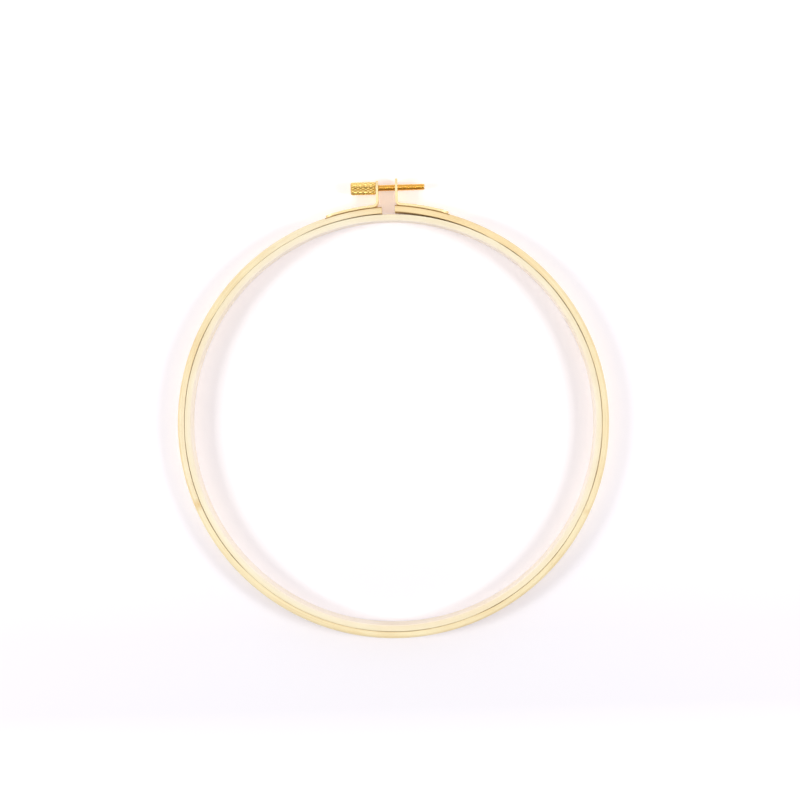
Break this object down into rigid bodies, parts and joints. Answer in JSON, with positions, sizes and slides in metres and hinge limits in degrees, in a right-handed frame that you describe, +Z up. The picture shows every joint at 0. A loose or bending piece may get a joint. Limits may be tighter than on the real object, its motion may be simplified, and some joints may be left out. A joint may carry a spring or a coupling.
{
  "type": "embroidery hoop",
  "caption": "Round wooden embroidery hoop: a closed inner ring inside a split outer ring that a knurled brass screw draws together through two riveted brackets.",
  "frame": {"origin": "on the axis of the rings, in the plane of their lower faces, which the hoop lies on", "axes": "+Z up along the axis of the rings, +Y towards the screw clamp, +X along the screw from its knurled head to its free end"},
  "size_m": [0.1788, 0.1909, 0.009],
  "materials": {
    "inner_wood": "smooth pale bent wood, unvarnished",
    "outer_wood": "smooth pale yellow bent wood, unvarnished",
    "bracket_brass": "bright pale brass plate",
    "screw_brass": "bright turned brass",
    "rivet_brass": "bright pale brass"
  },
  "bodies": {
    "hoop": {"outer_ring": "outer_wood", "left_bracket": "bracket_brass", "left_end_rivet": "rivet_brass", "left_tip_rivet": "rivet_brass"},
    "clamp_end": {"right_bracket": "bracket_brass", "right_end_rivet": "rivet_brass", "right_tip_rivet": "rivet_brass"},
    "screw": {"clamp_screw": "screw_brass"},
    "inner": {"inner_ring": "inner_wood"}
  },
  "joints": [
    {"name": "screw_turn", "type": "hinge", "parent": "hoop", "child": "screw", "pos_m": [0, 0.09775, 0.0045], "axis": [-1, 0, 0], "range_deg": [-720, 6480]},
    {"name": "ring_opening", "type": "slide", "parent": "hoop", "child": "clamp_end", "axis": [1, 0, 0], "range_m": [-0.001, 0.009], "deforming": ["outer_ring"]},
    {"name": "inner_ring_lift", "type": "slide", "parent": "hoop", "child": "inner", "axis": [0, 0, 1], "range_m": [0, 0.014]}
  ],
  "couplings": [
    {"joint": "screw_turn", "follows": "ring_opening", "rad_per_m": 12566}
  ]
}
